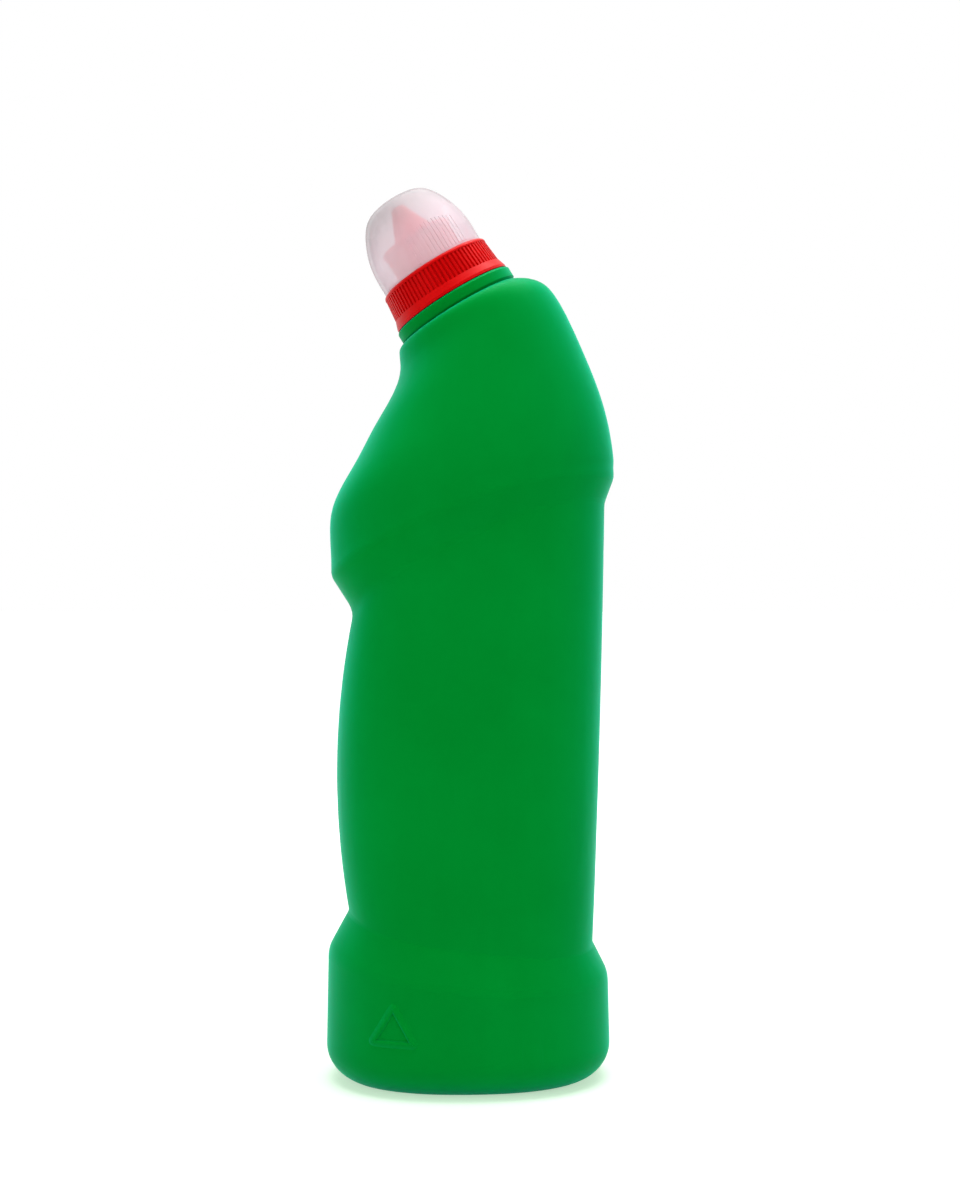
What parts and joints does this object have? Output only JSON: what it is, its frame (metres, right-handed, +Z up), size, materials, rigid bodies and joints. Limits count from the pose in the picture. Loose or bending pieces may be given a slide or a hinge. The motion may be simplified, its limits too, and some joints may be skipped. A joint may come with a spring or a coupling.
{
  "type": "squeeze bottle",
  "caption": "Upright oval squeeze bottle for liquid cleaner, with a waisted panel, an angled neck, a screw-on ribbed nozzle cap and a translucent pull-off overcap.",
  "frame": {"origin": "centre of the base on the standing face", "axes": "+Z up, the neck and spout lean towards -X, the broad faces look along -Y and +Y"},
  "size_m": [0.0883, 0.064, 0.2727],
  "materials": {
    "green_shell": "semi-gloss blow-moulded polyethylene",
    "red_closure": "satin moulded polypropylene",
    "seal_foam": "matt polyethylene foam",
    "clear_overcap": "translucent moulded polypropylene"
  },
  "bodies": {
    "bottle": {"bottle_body": "green_shell"},
    "seal": {"neck_seal": "seal_foam"},
    "nozzle": {"nozzle_cap": "red_closure"},
    "overcap": {"overcap": "clear_overcap"}
  },
  "joints": [
    {"name": "nozzle_cap_rise", "type": "slide", "parent": "bottle", "child": "seal", "axis": [-0.518, 0, 0.8554], "range_m": [0, 0.006]},
    {"name": "nozzle_cap_turn", "type": "hinge", "parent": "seal", "child": "nozzle", "pos_m": [-0.0048, 0, 0.2384], "axis": [-0.518, 0, 0.8554], "range_deg": [0, 540]},
    {"name": "overcap_pull", "type": "slide", "parent": "nozzle", "child": "overcap", "axis": [-0.518, 0, 0.8554], "range_m": [0, 0.04]}
  ],
  "couplings": [
    {"joint": "nozzle_cap_rise", "follows": "nozzle_cap_turn", "m_per_rad": 0.00063661}
  ]
}
